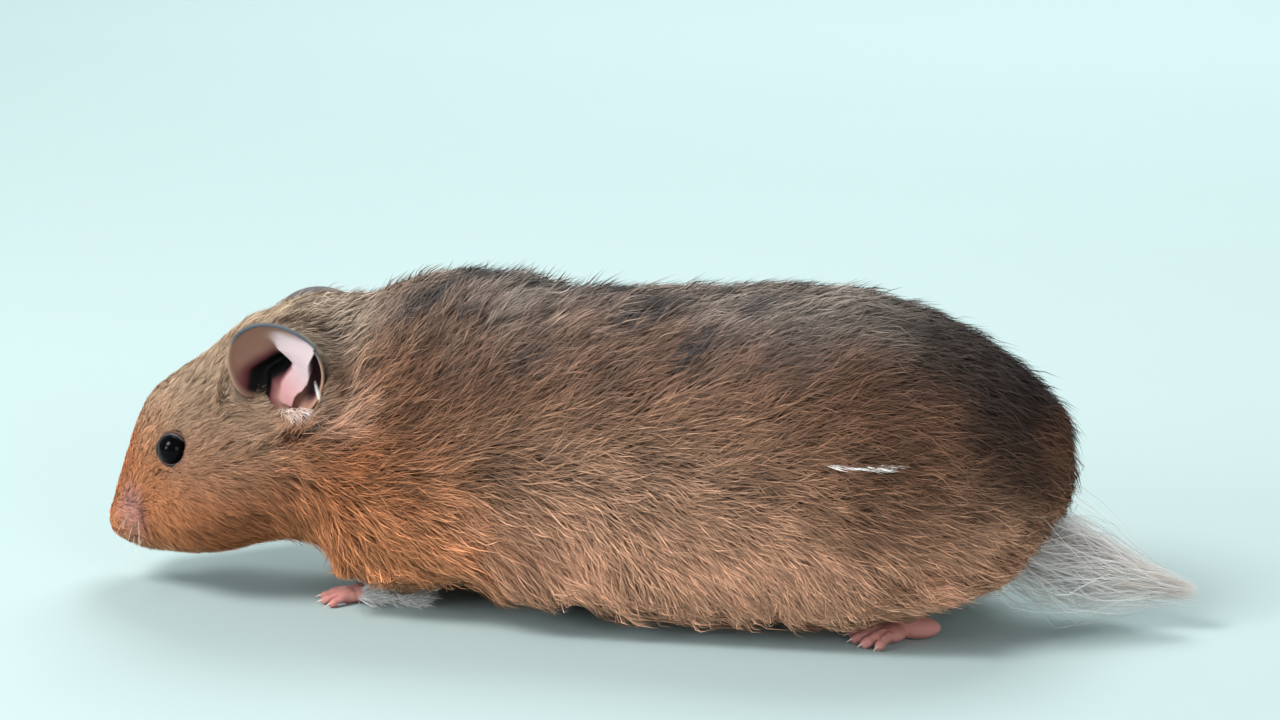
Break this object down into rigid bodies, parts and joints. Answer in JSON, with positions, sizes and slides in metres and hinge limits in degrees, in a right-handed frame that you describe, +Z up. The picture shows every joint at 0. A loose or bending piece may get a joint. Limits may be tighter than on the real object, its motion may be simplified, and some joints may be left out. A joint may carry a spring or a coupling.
{
  "type": "syrian hamster",
  "caption": "Life-size still figure of a long-haired hamster walking with its head low, for display on a flat surface.",
  "frame": {"origin": "on the floor, under the middle of the model's length and width", "axes": "+Z up, +X towards the tail along the body, -Y towards the animal's left side"},
  "size_m": [0.1882, 0.056, 0.0568],
  "materials": {
    "coat": "long soft fur, orange brown with grey and dark tips",
    "pale_coat": "long silky cream hair",
    "bare_skin": "soft pink skin with fine creases",
    "ear_skin": "thin skin with very fine short hair",
    "eye": "wet black gloss"
  },
  "bodies": {
    "root": {"head": "coat", "neck": "coat", "chest": "coat", "belly": "coat", "rump": "coat", "foreleg_left": "coat", "foreleg_right": "coat", "hindleg_left": "coat", "hindleg_right": "coat", "tail": "pale_coat", "forefoot_left": "bare_skin", "forefoot_right": "bare_skin", "hindfoot_left": "bare_skin", "hindfoot_right": "bare_skin", "nose": "bare_skin", "ear_left": "ear_skin", "ear_right": "ear_skin", "eye_left": "eye", "eye_right": "eye"}
  },
  "joints": []
}
